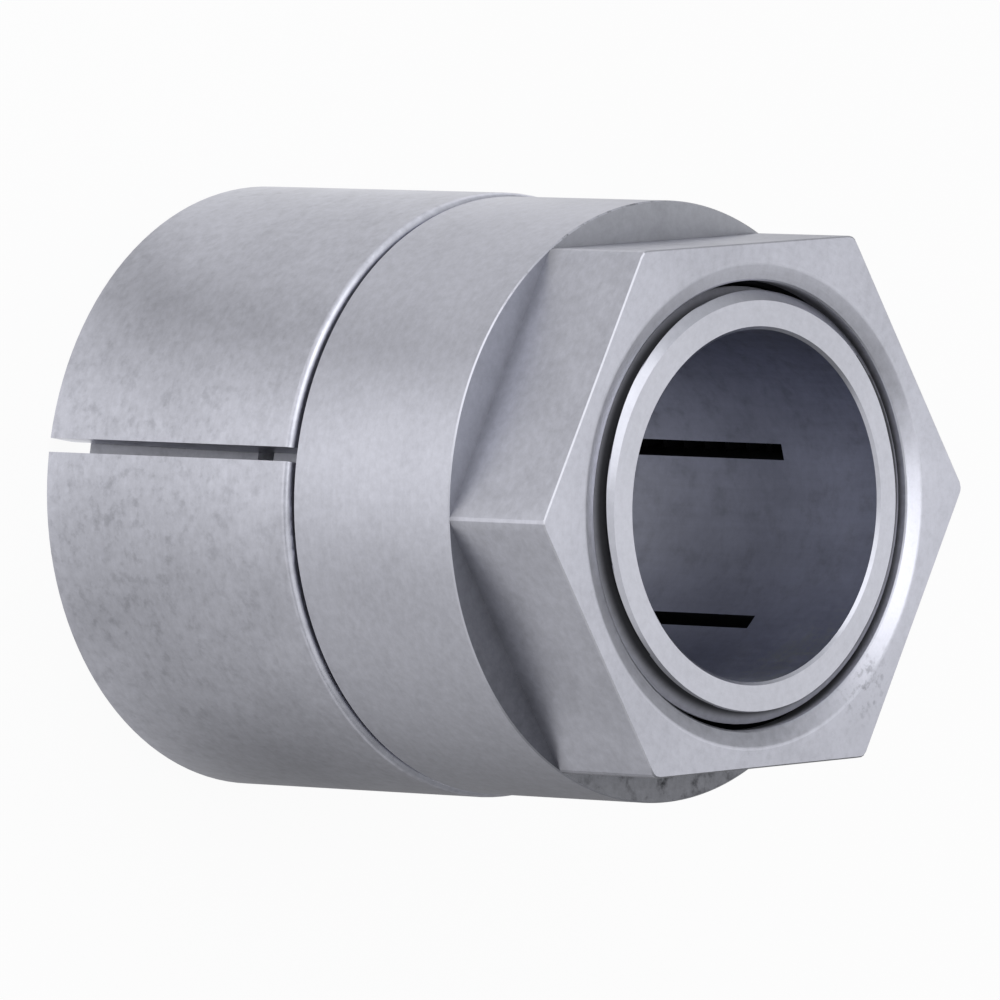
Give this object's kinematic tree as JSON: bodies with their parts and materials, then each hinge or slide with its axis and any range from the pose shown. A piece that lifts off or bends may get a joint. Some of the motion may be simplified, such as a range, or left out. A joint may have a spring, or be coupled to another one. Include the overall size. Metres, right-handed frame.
{
  "type": "keyless locking bushing",
  "caption": "Tapered keyless locking bushing: a slit outer sleeve, a slotted collet sleeve inside it and a hexagon nut that draws their cones together to grip a shaft and a hub.",
  "frame": {"origin": "centre of the outer sleeve's rear face, on the shaft axis, where the bushing stands", "axes": "+Z along the shaft axis toward the nut, -Y through the slit of the outer sleeve"},
  "size_m": [0.0444, 0.0444, 0.0513],
  "materials": {
    "outer_sleeve_steel": "satin turned steel, lightly stained",
    "inner_sleeve_steel": "turned steel, bright end face",
    "nut_steel": "satin turned and milled steel"
  },
  "bodies": {
    "outer_sleeve": {"outer_sleeve": "outer_sleeve_steel"},
    "nut": {"nut": "nut_steel"},
    "inner_sleeve": {"inner_sleeve": "inner_sleeve_steel"}
  },
  "joints": [
    {"name": "nut_turn", "type": "hinge", "parent": "outer_sleeve", "child": "nut", "pos_m": [0, 0, 0.0463], "axis": [0, 0, 1], "range_deg": [-210, 210]},
    {"name": "inner_sleeve_slide", "type": "slide", "parent": "outer_sleeve", "child": "inner_sleeve", "axis": [0, 0, 1], "range_m": [-0.00124, 0.00124]}
  ],
  "couplings": [
    {"joint": "inner_sleeve_slide", "follows": "nut_turn", "m_per_rad": -0.00033688}
  ]
}
